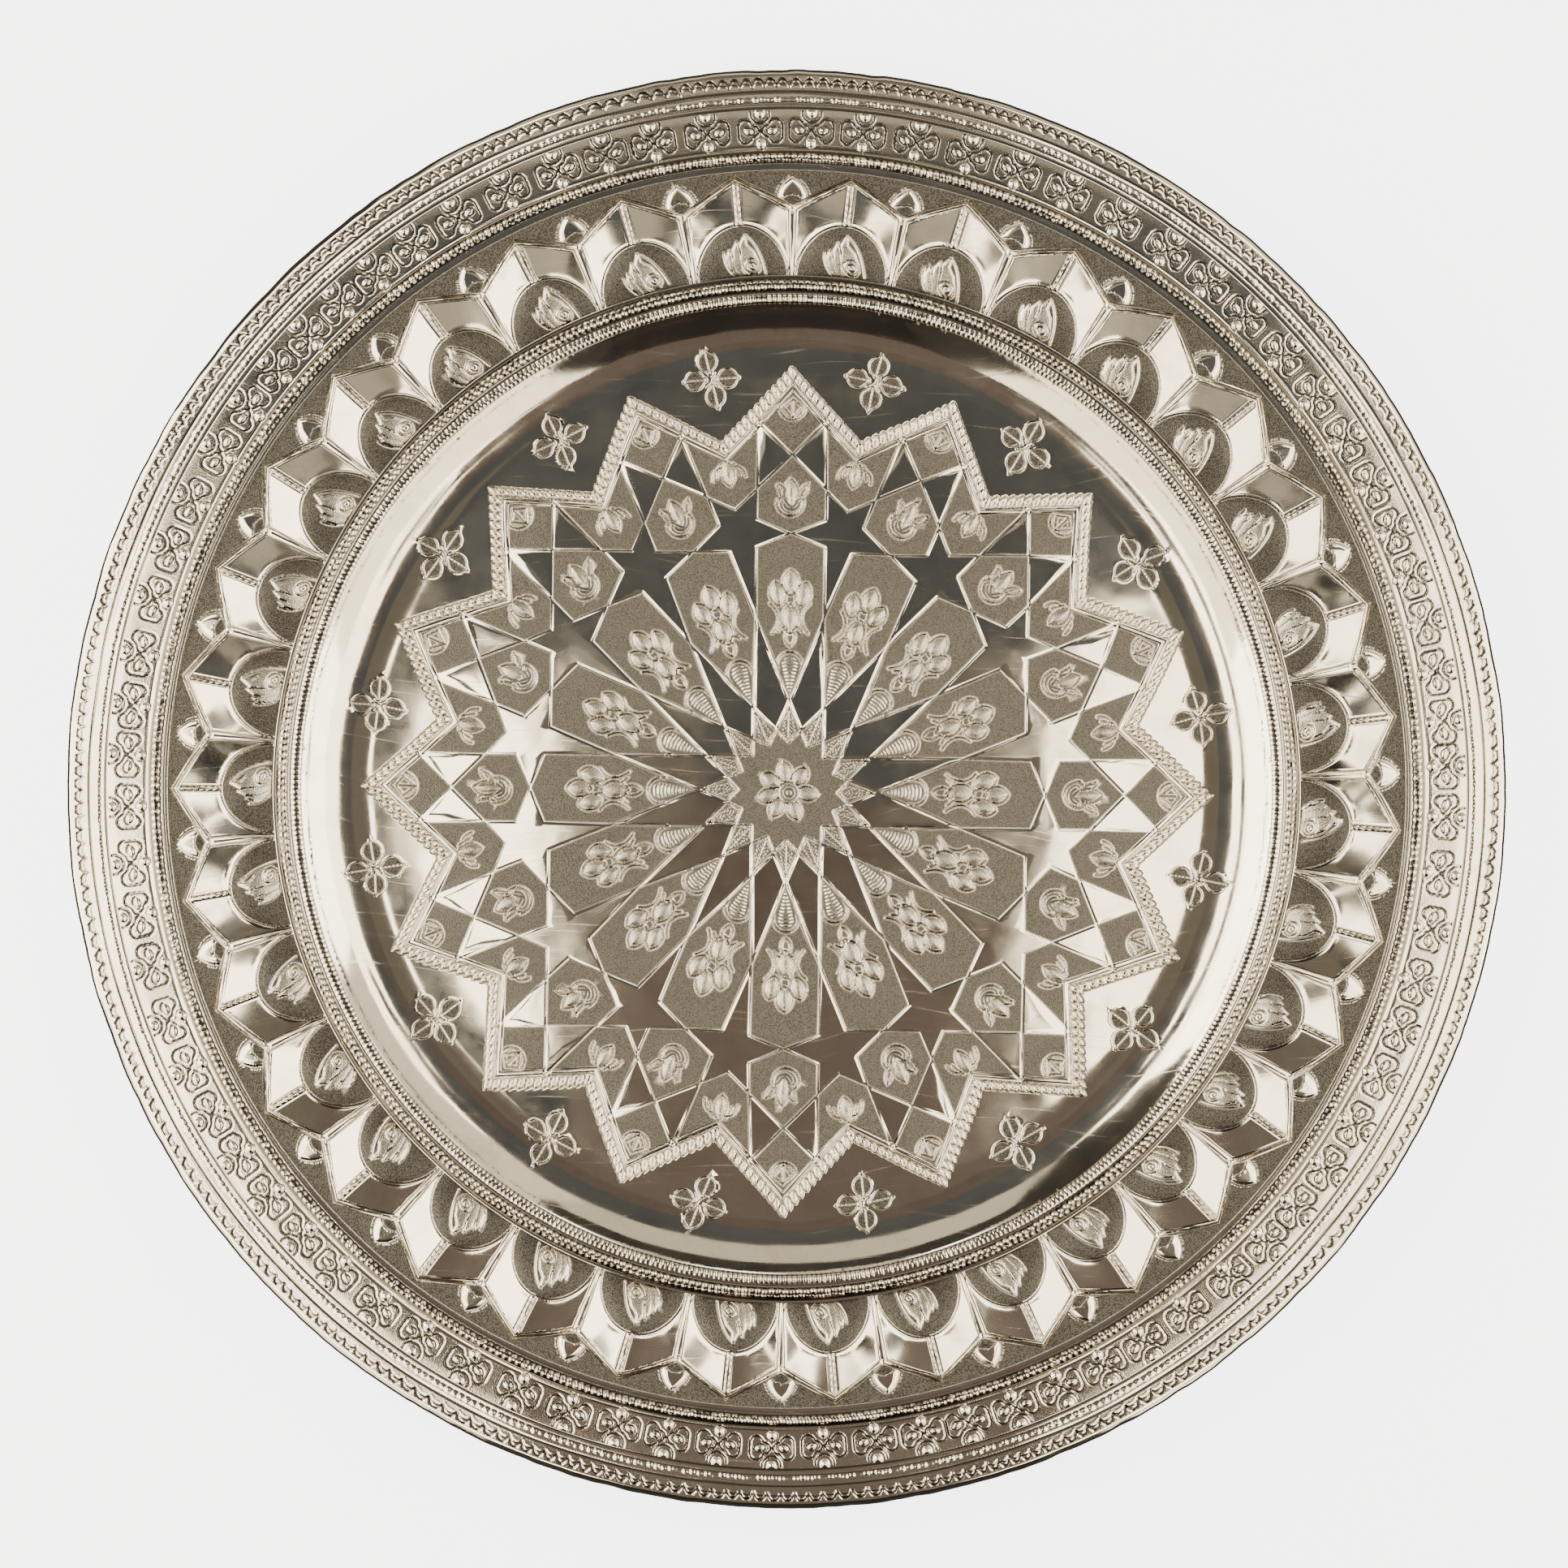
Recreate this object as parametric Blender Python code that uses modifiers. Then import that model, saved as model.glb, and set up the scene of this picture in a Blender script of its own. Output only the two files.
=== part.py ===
"""Round serving tray of tinned copper sheet, with a fluted border and an edge rolled over a wire.

The tray lies flat. The origin is the middle of its underside and +Z is up through the floor.
Two solids: tray_sheet, the one raised and chased sheet, and rim_wire, the iron ring in its edge.
"""
import math

import bpy

MM = 0.001

# Driving dimensions
OUTER_RADIUS = 300.0 * MM
SHEET_THICKNESS = 0.9 * MM
FLUTES = 34
STEPS_PER_FLUTE = 4
GAP = 0.3 * MM

# Wired edge
WIRE_RADIUS = 1.6 * MM
WIRE_SIDES = 6
CURL_RADIUS = WIRE_RADIUS + GAP + SHEET_THICKNESS / 2
CURL_SEGMENTS = 6
CURL_SWEEP = math.radians(265)

# Middle of the sheet's thickness: radius and height of each change of section
FLOOR_RADIUS = 173.2 * MM
FLOOR_HEIGHT = SHEET_THICKNESS / 2
COVE_SEGMENTS = 3
COVE_RISE_ANGLE = math.radians(49)
COVE_BEND_RADIUS = 39.5 * MM
SHOULDER = (210.5 * MM, 16.4 * MM)
FLUTE_INNER = (214.8 * MM, 16.2 * MM)
FLUTE_OUTER = (256.4 * MM, 21.5 * MM)
FLUTE_VALLEY_RADIUS = 243.2 * MM
FLUTE_LIFT = 5.0 * MM
FLUTE_BANDS = 4
RIDGE = (262.6 * MM, 23.2 * MM)
RIM_INNER = (266.3 * MM, 22.6 * MM)
RIM_TOP_HEIGHT = 26.4 * MM

STEPS = FLUTES * STEPS_PER_FLUTE
CURL_CENTRE = (OUTER_RADIUS - SHEET_THICKNESS / 2 - CURL_RADIUS, RIM_TOP_HEIGHT - CURL_RADIUS)


def clear_scene():
    """Remove every object that is in the file already."""
    for obj in list(bpy.data.objects):
        bpy.data.objects.remove(obj, do_unlink=True)


def make_collection(name):
    """A collection of its own for the tray's pieces."""
    collection = bpy.data.collections.new(name)
    bpy.context.scene.collection.children.link(collection)
    return collection


def make_metal(name, colour, roughness):
    """A bare metal finish."""
    material = bpy.data.materials.new(name)
    material.use_nodes = True
    shader = material.node_tree.nodes["Principled BSDF"]
    shader.inputs["Base Color"].default_value = (*colour, 1.0)
    shader.inputs["Metallic"].default_value = 1.0
    shader.inputs["Roughness"].default_value = roughness
    return material


def between(start, end, count):
    """Points after start, up to and including end, on a straight line."""
    points = []
    for i in range(1, count + 1):
        t = i / count
        points.append((start[0] + t * (end[0] - start[0]), start[1] + t * (end[1] - start[1])))
    return points


def cove_points():
    """The concave arc that turns up from the flat floor."""
    points = []
    for i in range(1, COVE_SEGMENTS + 1):
        angle = COVE_RISE_ANGLE * i / COVE_SEGMENTS
        radius = FLOOR_RADIUS + COVE_BEND_RADIUS * math.sin(angle)
        height = FLOOR_HEIGHT + COVE_BEND_RADIUS * (1 - math.cos(angle))
        points.append((radius, height))
    return points


def curl_points():
    """The edge rolled outward, down and back in under itself, round the wire."""
    points = []
    for i in range(CURL_SEGMENTS + 1):
        angle = math.pi / 2 - CURL_SWEEP * i / CURL_SEGMENTS
        radius = CURL_CENTRE[0] + CURL_RADIUS * math.cos(angle)
        height = CURL_CENTRE[1] + CURL_RADIUS * math.sin(angle)
        points.append((radius, height))
    return points


def section_points():
    """The sheet's section, from the centre outward."""
    points = [(0.0, FLOOR_HEIGHT), (FLOOR_RADIUS, FLOOR_HEIGHT)]
    points += cove_points()
    points += [SHOULDER, FLUTE_INNER]
    points += between(FLUTE_INNER, FLUTE_OUTER, FLUTE_BANDS)
    points += [RIDGE, RIM_INNER]
    points += curl_points()
    return points


def flute_lift(radius, angle):
    """How far a flute stands up: a ridged pillow whose outer end is a shallow chevron.

    The phase is half a flute round, so that a valley lies on the +Y axis.
    """
    phase = (angle / (2 * math.pi) * FLUTES + 0.5) % 1.0
    from_crest = abs(2 * phase - 1)
    top = FLUTE_OUTER[0] + (FLUTE_VALLEY_RADIUS - FLUTE_OUTER[0]) * from_crest
    along = (radius - FLUTE_INNER[0]) / (top - FLUTE_INNER[0])
    if along <= 0 or along >= 1:
        return 0.0
    return FLUTE_LIFT * (1 - from_crest) ** 0.8 * math.sin(math.pi * along) ** 0.7


def turned_surface(name, points, collection):
    """An open surface turned about the Z axis from a list of radius and height."""
    mesh = bpy.data.meshes.new(name)
    edges = [(i, i + 1) for i in range(len(points) - 1)]
    mesh.from_pydata([(r, 0.0, z) for r, z in points], edges, [])
    obj = bpy.data.objects.new(name, mesh)
    collection.objects.link(obj)
    screw = obj.modifiers.new("turn", "SCREW")
    screw.axis = "Z"
    screw.angle = 2 * math.pi
    screw.steps = STEPS
    screw.render_steps = STEPS
    screw.use_merge_vertices = True
    screw.merge_threshold = 0.00005
    return obj


def apply_modifiers(obj):
    """Swap the object's mesh for its evaluated one."""
    depsgraph = bpy.context.evaluated_depsgraph_get()
    mesh = bpy.data.meshes.new_from_object(obj.evaluated_get(depsgraph))
    obj.modifiers.clear()
    old = obj.data
    obj.data = mesh
    bpy.data.meshes.remove(old)


def make_tray_sheet(collection):
    """The sheet: turned, then fluted, then given its thickness."""
    obj = turned_surface("tray_sheet", section_points(), collection)
    apply_modifiers(obj)
    for vertex in obj.data.vertices:
        radius = math.hypot(vertex.co.x, vertex.co.y)
        angle = math.atan2(vertex.co.y, vertex.co.x)
        if FLUTE_INNER[0] < radius < FLUTE_OUTER[0]:
            vertex.co.z += flute_lift(radius, angle)
    solidify = obj.modifiers.new("thickness", "SOLIDIFY")
    solidify.thickness = SHEET_THICKNESS
    solidify.offset = 0.0
    solidify.use_even_offset = True
    obj.data.shade_smooth()
    obj.data.set_sharp_from_angle(angle=math.radians(30))
    obj.data.materials.clear()
    obj.data.materials.append(make_metal("tinned_copper", (0.66, 0.62, 0.55), 0.28))
    return obj


def make_rim_wire(collection):
    """The iron ring that the edge is rolled over."""
    bpy.ops.mesh.primitive_torus_add(
        major_radius=CURL_CENTRE[0],
        minor_radius=WIRE_RADIUS,
        major_segments=STEPS,
        minor_segments=WIRE_SIDES,
        location=(0.0, 0.0, CURL_CENTRE[1]),
    )
    obj = bpy.context.object
    obj.name = "rim_wire"
    obj.data.name = "rim_wire"
    for other in list(obj.users_collection):
        other.objects.unlink(obj)
    collection.objects.link(obj)
    obj.data.shade_smooth()
    obj.data.materials.append(make_metal("iron_wire", (0.26, 0.24, 0.22), 0.55))
    return obj


def main():
    clear_scene()
    collection = make_collection("fluted_tray")
    make_tray_sheet(collection)
    make_rim_wire(collection)


main()
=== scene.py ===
"""Looks of a large tinned copper tray: chased star, cove, beaded rings, flutes, hearts and rolled edge.

The one sheet of the CAD model is shown as concentric pieces of fine mesh. Every piece is computed from
relief functions in millimetres: x and y lie in the plane of the tray, and angles run clockwise from +Y.
"""
import math

import bpy
import numpy as np
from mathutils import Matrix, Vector
from mathutils.geometry import delaunay_2d_cdt


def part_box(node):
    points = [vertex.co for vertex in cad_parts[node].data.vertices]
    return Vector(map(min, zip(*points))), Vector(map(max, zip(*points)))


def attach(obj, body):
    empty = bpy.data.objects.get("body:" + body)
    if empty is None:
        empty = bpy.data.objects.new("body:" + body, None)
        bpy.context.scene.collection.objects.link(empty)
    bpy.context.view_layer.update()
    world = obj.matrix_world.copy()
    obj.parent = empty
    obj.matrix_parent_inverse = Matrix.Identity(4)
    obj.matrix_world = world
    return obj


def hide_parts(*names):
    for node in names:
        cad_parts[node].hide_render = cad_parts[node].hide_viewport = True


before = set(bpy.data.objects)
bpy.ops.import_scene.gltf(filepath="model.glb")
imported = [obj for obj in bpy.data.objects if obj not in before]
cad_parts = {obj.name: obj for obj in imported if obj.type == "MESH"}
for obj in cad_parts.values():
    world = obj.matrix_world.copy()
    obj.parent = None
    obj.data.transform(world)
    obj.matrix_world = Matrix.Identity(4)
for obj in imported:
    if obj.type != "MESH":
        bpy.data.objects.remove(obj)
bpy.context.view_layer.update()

SHEET_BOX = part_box("tray_sheet")
MM = 0.001

# ---- driving sizes, in millimetres
OUTER_RADIUS = round(SHEET_BOX[1][0] / MM)
SHEET = 0.9
FLOOR_RADIUS = 173.2
COVE_BEND = 39.5
COVE_END = 203.0
SHOULDER = 210.5
FLUTE_INNER = 214.8
FLUTE_OUTER = 256.4
FLUTE_VALLEY = 243.2
FLUTE_BAND_END = 259.0
FLUTE_LIFT = 5.0
RIDGE = 263.4
RIM_INNER = 266.3
HEARTS_END = 283.0
EDGE_START = 296.6
CURL_CENTRE = (297.2, 24.05)
CURL_OUTSIDE = 2.8

# Radius and height of the middle of the sheet at its changes of section
PROFILE = ((COVE_END, 14.0), (SHOULDER, 16.4), (FLUTE_INNER, 16.2), (FLUTE_OUTER, 21.5),
           (RIDGE, 22.9), (RIM_INNER, 22.6), (281.0, 24.9), (297.2, 26.4))

# The star: two families of lines, at two distances from its centre, every 22.5 degrees
POINTS = 16
SECTOR = 2 * math.pi / POINTS
LINE_A = 14.5
LINE_B = 100.2
STAR_TURN = math.radians(0.77)
STAR_SHIFT = (0.4, -1.1)
STAR_DEPTH = 1.3
STAR_CUT = 0.27

# Where the star's lines cross: distances from its centre
UPPER = (LINE_B + LINE_A * math.sin(SECTOR)) / math.cos(SECTOR)
LOWER = (LINE_B - LINE_A * math.sin(SECTOR)) / math.cos(SECTOR)
TOP = LINE_B / math.cos(math.pi / 4)
NOTCH = LINE_B / math.cos(1.5 * SECTOR)
FOOT = LINE_A / math.sin(SECTOR)
INNER = LINE_A / math.sin(1.5 * SECTOR)
HUB = LINE_A / math.sin(2 * SECTOR)

# The border: distances to the points of its two lines and its rope, and its valleys' share of them
BORDER_SLOPE = math.radians(47.5)
BORDER_LINES = (171.0, 168.6)
BORDER_HALF = 0.5
BORDER_ROPE = 175.8
BORDER_VALLEY = 0.83775
BORDER_SIDE = 0.16343
ROPE_STRANDS = 12

# Distances from the star's centre: the motifs' middles, and where one motif's share ends
TULIP_MIDDLE = 124.0
BUD_MIDDLE = 136.0
FLOWER_MIDDLE = 176.2
PETAL_END = 100
TULIP_START = 104
STAR_END = 172
BUD_END = 150
HUB_RADIUS = 15.5

# The flutes are laid out flat at the width that they have at this radius
FLUTES = 34
PITCH = 2 * math.pi / FLUTES
FLUTE_FLAT = 240.0 * PITCH
ARCH_HALF = 18.3
ARCH_HEIGHT = 20.2
LEAF_START = 244.6

# The rings: where each row of marks runs, and how many marks some of them have
TICKS = 204.9
TICK_COUNT = 624
SHOULDER_ROWS = (209.7, 212.1)
RIDGE_ROWS = (264.0, 262.3)
HEART_MIDDLE = 274.4
HEART_PAIRS = 80
DASHES = 286.9
SCALLOPS = 292.7
SCALLOP_GROUPS = 109

STAR_STEP = 0.32
FLUTE_STEP = 0.42
RING_STEP = 0.56
BACK_STEP = 1.6
SLIVER = 0.004

# Distance returned where a shape is out of reach
FAR = 9.0

# The view: width of the frame, and the camera's distance and small offset, in metres
VIEW_WIDTH = 0.65344
VIEW_DISTANCE = 2.5
VIEW_OFFSET = (-0.0011, 0.0021)


# ---- small tools
def smoothstep(low, high, value):
    """0 at low, 1 at high, and an eased rise between them."""
    t = np.clip((value - low) / (high - low), 0, 1)
    return t * t * (3 - 2 * t)


def waves(x, y, length, seed, count=6):
    """A smooth random field of about unit height, with features about length across."""
    rng = np.random.default_rng(seed)
    total = np.zeros_like(x)
    for _ in range(count):
        way = rng.uniform(0, 2 * math.pi)
        rate = 2 * math.pi / (length * rng.uniform(0.7, 1.5))
        total += np.sin(rate * (x * math.cos(way) + y * math.sin(way)) + rng.uniform(0, 2 * math.pi))
    return total / math.sqrt(count)


def turn(x, y, angle):
    """Turn points anticlockwise by angle."""
    c, s = math.cos(angle), math.sin(angle)
    return c * x - s * y, s * x + c * y


def segment(x, y, ax, ay, bx, by):
    """Distance to a straight line from a to b."""
    dx, dy = bx - ax, by - ay
    t = np.clip(((x - ax) * dx + (y - ay) * dy) / (dx * dx + dy * dy), 0, 1)
    return np.hypot(x - ax - t * dx, y - ay - t * dy)


def polyline(x, y, points):
    """Distance to a run of straight lines."""
    away = np.full(np.shape(x), 1e9)
    for (ax, ay), (bx, by) in zip(points[:-1], points[1:]):
        away = np.minimum(away, segment(x, y, ax, ay, bx, by))
    return away


def bend(start, middle, end, count=8):
    """Points along the smooth curve through three points."""
    points = []
    for i in range(count + 1):
        t = i / count
        a, b, c = (1 - t) * (1 - 2 * t), 4 * t * (1 - t), t * (2 * t - 1)
        points.append((a * start[0] + b * middle[0] + c * end[0],
                       a * start[1] + b * middle[1] + c * end[1]))
    return points


def arc(cx, cy, radius, start, end, count=12):
    """Points along a circular arc, angles in degrees anticlockwise from +x."""
    points = []
    for i in range(count + 1):
        angle = math.radians(start + (end - start) * i / count)
        points.append((cx + radius * math.cos(angle), cy + radius * math.sin(angle)))
    return points


def nearest(line, x, y, *curves):
    """The smaller of a distance and the distances to some curves."""
    for curve in curves:
        line = np.minimum(line, polyline(x, y, curve))
    return line


def tapered(x, y, points):
    """Signed distance to a run of (x, y, radius) balls joined smoothly, negative inside."""
    away = np.full(np.shape(x), 1e9)
    for (ax, ay, ar), (bx, by, br) in zip(points[:-1], points[1:]):
        dx, dy = bx - ax, by - ay
        t = np.clip(((x - ax) * dx + (y - ay) * dy) / (dx * dx + dy * dy), 0, 1)
        away = np.minimum(away, np.hypot(x - ax - t * dx, y - ay - t * dy) - (ar + t * (br - ar)))
    return away


def lens(x, y, cx, cy, long, wide, lean=0.0):
    """Signed distance to a pointed oval of half length long and half width wide.

    It points along y, and lean turns it clockwise in degrees.
    """
    u, v = turn(x - cx, y - cy, math.radians(lean))
    radius = (long * long + wide * wide) / (2 * wide)
    return np.hypot(np.abs(u) + radius - wide, v) - radius


def convex(x, y, corners):
    """Signed distance to a convex polygon, negative inside."""
    cx = sum(p[0] for p in corners) / len(corners)
    cy = sum(p[1] for p in corners) / len(corners)
    away = np.full(np.shape(x), -1e9)
    for (ax, ay), (bx, by) in zip(corners, corners[1:] + corners[:1]):
        nx, ny = by - ay, ax - bx
        size = math.hypot(nx, ny)
        if nx * (cx - ax) + ny * (cy - ay) > 0:
            nx, ny = -nx, -ny
        away = np.maximum(away, (nx * (x - ax) + ny * (y - ay)) / size)
    return away


def groove(away, width, depth, lip=0.25):
    """A chased line: a round-bottomed cut with a slight burr along each side."""
    half = width / 2
    cut = -depth * np.cos(math.pi / 2 * np.clip(away / half, 0, 1)) ** 2
    burr = lip * depth * np.cos(math.pi / 2 * np.clip(np.abs(away - 1.3 * half) / (0.6 * half), 0, 1)) ** 2
    return cut + burr


def ring_groove(r, radius, width, depth):
    """A chased line that runs round the tray."""
    return groove(np.abs(r - radius), width, depth)


def dome(away, width, height):
    """A rounded rise that starts at the edge of a shape and is full height width inside it."""
    t = np.clip(-away / width, 0, 1)
    return height * (1 - (1 - t) ** 2)


def roof(away, width, height):
    """A rise with straight sides."""
    return height * np.clip(-away / width, 0, 1)


def inside(away, soft=0.25):
    """1 inside a shape, 0 outside it."""
    return np.clip(0.5 - away / soft, 0, 1)


def patina(h):
    """How much dark tarnish has stayed in a cut of depth -h."""
    return smoothstep(0.05, 0.18, -h)


# ---- the sheet's section
def section_tables():
    """Radius and height of the middle of the sheet, with its corners eased."""
    radius = np.arange(0, CURL_CENTRE[0] + 3, 0.1)
    knots_r = [p[0] for p in PROFILE]
    knots_z = [p[1] for p in PROFILE]
    height = np.interp(radius, knots_r, knots_z)
    along = np.clip((radius - FLOOR_RADIUS) / COVE_BEND, 0, 0.78)
    cove = SHEET / 2 + COVE_BEND * (1 - np.sqrt(1 - along ** 2))
    height = np.where(radius < COVE_END, cove, height)
    size = 25
    padded = np.concatenate([np.full(size, height[0]), height, np.full(size, height[-1])])
    eased = np.convolve(padded, np.ones(size) / size, "same")[size:-size]
    ends = smoothstep(CURL_CENTRE[0] - 4, CURL_CENTRE[0] - 2, radius)
    return radius, eased * (1 - ends) + height * ends


SECTION_R, SECTION_Z = section_tables()
SECTION_SLOPE = np.gradient(SECTION_Z, SECTION_R)


def middle(radius):
    """Height of the middle of the sheet at a radius."""
    return np.interp(radius, SECTION_R, SECTION_Z)


def half_sheet(radius):
    """Half the sheet's thickness, measured straight up."""
    return SHEET / 2 * np.sqrt(1 + np.interp(radius, SECTION_R, SECTION_SLOPE) ** 2)


# ---- the star's relief
def at_turn(radius, sectors):
    """A point at a radius, turned from the petal's axis by a number of sectors."""
    return radius * math.sin(sectors * SECTOR), radius * math.cos(sectors * SECTOR)


def star_lines():
    """The straight chased lines of one petal and its neighbours: ends and width."""
    vx, vy = at_turn(NOTCH, 0.5)
    own = []
    for side in (-1, 1):
        a = side * LINE_A
        own.append((a, LINE_A, a, LOWER, 1.8))
        own.append((a, UPPER, a, TOP + LINE_A, 1.7))
        own.append((-a, UPPER, a, LOWER, 1.5))
        own.append((side * vx, vy, -a, TOP + LINE_A, 1.6))
    lines = []
    for k in range(-4, 5):
        for ax, ay, bx, by, width in own:
            ax, ay = turn(ax, ay, -k * SECTOR)
            bx, by = turn(bx, by, -k * SECTOR)
            lines.append((ax, ay, bx, by, width))
    return lines


STAR_LINES = star_lines()


def star_grounds():
    """Convex outlines of the stippled fields of one sector."""
    a = LINE_A
    waist = a / math.sin(SECTOR / 2) * math.cos(SECTOR / 2)
    cross = LINE_B / math.cos(SECTOR)
    tip = BORDER_LINES[1]
    valley = BORDER_VALLEY * tip
    fields = [
        [(0, cross), (a, LOWER), (a, waist), (0, FOOT), (-a, waist), (-a, LOWER)],
        [(0, cross), (a, UPPER), (a, TOP - a), (0, TOP), (-a, TOP - a), (-a, UPPER)],
        [(0, TOP), (a, TOP + a), (0, tip), (-a, TOP + a)],
        [(0, FOOT), at_turn(INNER, 0.5), (0, HUB), at_turn(INNER, -0.5)],
    ]
    for side in (-1, 1):
        fields.append([(side * a, TOP - a), (side * a, TOP + a + 1.5), at_turn(valley, side * 0.52),
                       at_turn(NOTCH, side * 0.52)])
        fields.append([(0, 0), (0, HUB), at_turn(INNER, side * 0.5), at_turn(HUB, side)])
    return fields


STAR_FIELDS = star_grounds()


def seed(x, y, cx, cy, long, wide, lean=0.0, height=0.85):
    """A raised kernel: its height, its body, and the distance to the line chased round it."""
    kernel = lens(x, y, cx, cy, long * 0.82, wide * 0.76, lean)
    outline = lens(x, y, cx, cy, long, wide, lean)
    return dome(kernel, wide * 0.72, height), inside(kernel), np.abs(outline)


def chased(line, body, share=0.4):
    """Cut and shine of a motif, from the distance to its lines, which have bright lips."""
    line = np.where(body > 0.5, FAR, line)
    lips = 0.85 * inside(np.abs(line - 0.78) - 0.2, 0.3)
    return groove(line, 1.1, 0.32, 0.35), np.maximum(lips, share * body)


def petal_motif(u, v, rng):
    """The cluster of kernels and the ribbed cone of a long petal."""
    h = np.zeros_like(u)
    body = np.zeros_like(u)
    line = np.full(u.shape, FAR)
    lean = rng.uniform(-5, 5)
    kernels = [(0.2, 87.6, 5.4, 3.5, lean), (-5.4, 82.9, 5.1, 3.3, -12 + lean),
               (5.6, 82.6, 5.1, 3.3, 17 + lean), (0.0, 72.5, 5.9, 3.6, lean)]
    for cx, cy, long, wide, tilt in kernels:
        part, solid, edge = seed(u, v, cx, cy, long, wide, tilt)
        h += part
        body = np.maximum(body, solid)
        line = np.minimum(line, edge)
    bud = lens(u, v, 0.2, 80.6, 3.4, 2.3)
    drop = lens(u, v, 0, 65.0, 3.7, 2.1)
    h += dome(bud, 1.6, 0.35) + roof(drop, 1.8, 0.5)
    line = np.minimum(line, np.minimum(np.abs(bud), np.abs(drop)))
    for side in (-1, 1):
        line = nearest(line, u, v, bend((side * 8.6, 78.8), (side * 5.0, 73.2), (side * 7.6, 66.6)),
                       bend((side * 1.2, 68.3), (side * 2.8, 69.4), (side * 5.2, 67.3)))
    cone = tapered(u, v, [(0, 53.6, 3.6), (0, 41.0, 0.5)])
    steps = 0.5 + 0.5 * np.cos(2 * math.pi * (v + 0.05 * u * u) / 1.5)
    h += dome(cone, 2.6, 0.6) - 0.25 * inside(cone + 0.3, 0.5) * steps
    line = nearest(line, u, v, arc(0, 53.4, 5.4, -20, 200))
    cut, shine = chased(line, body)
    return h + cut, np.maximum(shine, 0.9 * inside(cone + 0.2, 0.4) * smoothstep(0.7, 0.35, steps))


def tulip_motif(u, v, rng):
    """The tulip on its curled base, in a hexagon."""
    u = u + rng.uniform(-0.5, 0.5)
    v = v + rng.uniform(-0.6, 0.6)
    u, v = turn(u, v - TULIP_MIDDLE, math.radians(rng.uniform(-6, 6)))
    h, body, line = seed(u, v, 0, 1.6, 6.2, 3.0, 0, 0.8)
    line = nearest(line, u, v, bend((-5.8, 5.4), (-4.6, 1.0), (-6.3, -2.6)),
                   arc(-0.6, -2.4, 5.6, 165, 392, 20), arc(0, -2.2, 3.2, 195, 345))
    for cx, lean in ((4.9, 38), (-3.4, -24)):
        leaf = lens(u, v, cx, 2.2, 3.8, 1.4, lean)
        h += dome(leaf, 0.8, 0.3)
        line = np.minimum(line, np.abs(leaf))
    bowl = np.hypot(u + 0.6, v + 2.4) - 5.0
    h += 0.35 * inside(bowl, 0.8) * inside(v + 2.0 - 0.12 * u * u, 1.0)
    cut, shine = chased(line, body)
    return h + cut, shine


def tip_motif(u, v):
    """The half-round leaf under a point of the border."""
    leaf = convex(u, v, [(0, 165.2), (4.0, 161.9), (0, 156.9), (-4.0, 161.9)])
    line = polyline(u, v, arc(0, 162.0, 5.6, 185, 355))
    line = np.minimum(line, np.abs(leaf))
    line = np.minimum(line, np.where(leaf < 0.3, np.abs(u), FAR))
    return chased(line, np.zeros_like(u))


def fern_motif(u, v):
    """The engraved leaf in a small kite by the hub."""
    field = (v > HUB + 1.2) & (v < FOOT - 1.0)
    spread = np.maximum(FOOT - v, 0) * 0.20
    h = groove(np.where(field, np.abs(u), FAR), 0.55, 0.28)
    h += groove(np.where(field, np.abs(np.abs(u) - spread), FAR), 0.45, 0.16)
    rays = np.abs(((v + 0.8 * np.abs(u)) % 1.5) - 0.75)
    h += groove(np.where(field & (np.abs(u) < spread), rays, FAR), 0.45, 0.14)
    return h


def border_relief(u, v, lines):
    """The rope of leaning ovals and the two thin lines inside it."""
    side = np.abs(u)
    slope = math.tan(BORDER_SLOPE)
    c = math.cos(BORDER_SLOPE)

    def off(tip):
        return (v + slope * side - tip) * c

    h = np.zeros_like(u)
    if lines:
        for tip in BORDER_LINES:
            h -= 0.2 * np.clip(1 - np.abs(off(tip)) / BORDER_HALF, 0, 1)
    near = np.abs(off(BORDER_ROPE)) < 6
    uu, vv = u[near], v[near]
    best = np.full(uu.shape, FAR)
    spine = np.full(uu.shape, FAR)
    reach = BORDER_SIDE * BORDER_ROPE
    for k in (-1, 0, 1):
        x, y = turn(uu, vv, k * SECTOR)
        for i in range(-ROPE_STRANDS, ROPE_STRANDS + 1):
            cx = reach * i / ROPE_STRANDS
            cy = BORDER_ROPE - slope * abs(cx)
            shape = lens(x, y, cx, cy, 3.15, 1.62, -14)
            best = np.minimum(best, shape)
            core = lens(x, y, cx, cy - 0.1, 2.0, 0.62, -14)
            spine = np.minimum(spine, core)
    best_all = np.full(u.shape, FAR)
    best_all[near] = best
    rope = np.zeros_like(u)
    rope[near] = dome(best, 0.8, 0.5) - roof(spine, 0.55, 0.65) + groove(np.abs(best), 0.75, 0.32, 0.0)
    band = inside(np.abs(off(BORDER_ROPE)) - 2.3, 0.4) * smoothstep(-0.5, 0.1, best_all)
    return h + rope, off(BORDER_LINES[1]), band


def bud_motif(u, v):
    """The little bud that hangs in a valley of the border, between two curled leaves."""
    v = v - BUD_MIDDLE
    h, body, line = seed(u, v, 0, 0, 5.4, 2.7, 0, 0.7)
    for side in (-1, 1):
        for reach, drop in ((4.9, 0.2), (7.1, 1.4)):
            leaf = [(2.6, 4.4), (reach - 1.2, 2.8), (reach, -1.0)]
            line = nearest(line, u, v, bend(*[(side * across, up - drop) for across, up in leaf]))
    cut, shine = chased(line, body)
    return h + cut, shine


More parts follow.
